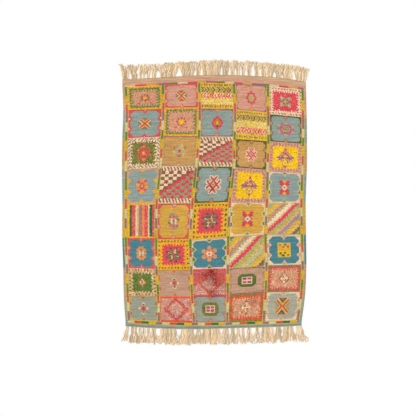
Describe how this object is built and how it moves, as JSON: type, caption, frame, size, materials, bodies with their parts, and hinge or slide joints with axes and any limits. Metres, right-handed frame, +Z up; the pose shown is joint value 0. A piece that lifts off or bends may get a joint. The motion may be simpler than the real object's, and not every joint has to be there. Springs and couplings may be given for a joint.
{
  "type": "moroccan rug",
  "caption": "Flat hand-woven wool rug of chequered flat-woven and raised pile tiles, with narrow strips between them, a plain heading and loose cord fringe at both ends.",
  "frame": {"origin": "on the floor under the middle of the rug and its fringes", "axes": "+Z up from the floor, +Y along the rug towards its far end with the plain heading, +X to its right side"},
  "size_m": [1.5272, 2.2986, 0.0104],
  "materials": {
    "rug_wool": "matte wool, flat-woven ground with knotted pile tiles in many soft colours",
    "warp_yarn": "undyed cream wool cord, matte"
  },
  "bodies": {
    "root": {"rug_body": "rug_wool", "fringe_far": "warp_yarn", "fringe_near": "warp_yarn"}
  },
  "joints": []
}
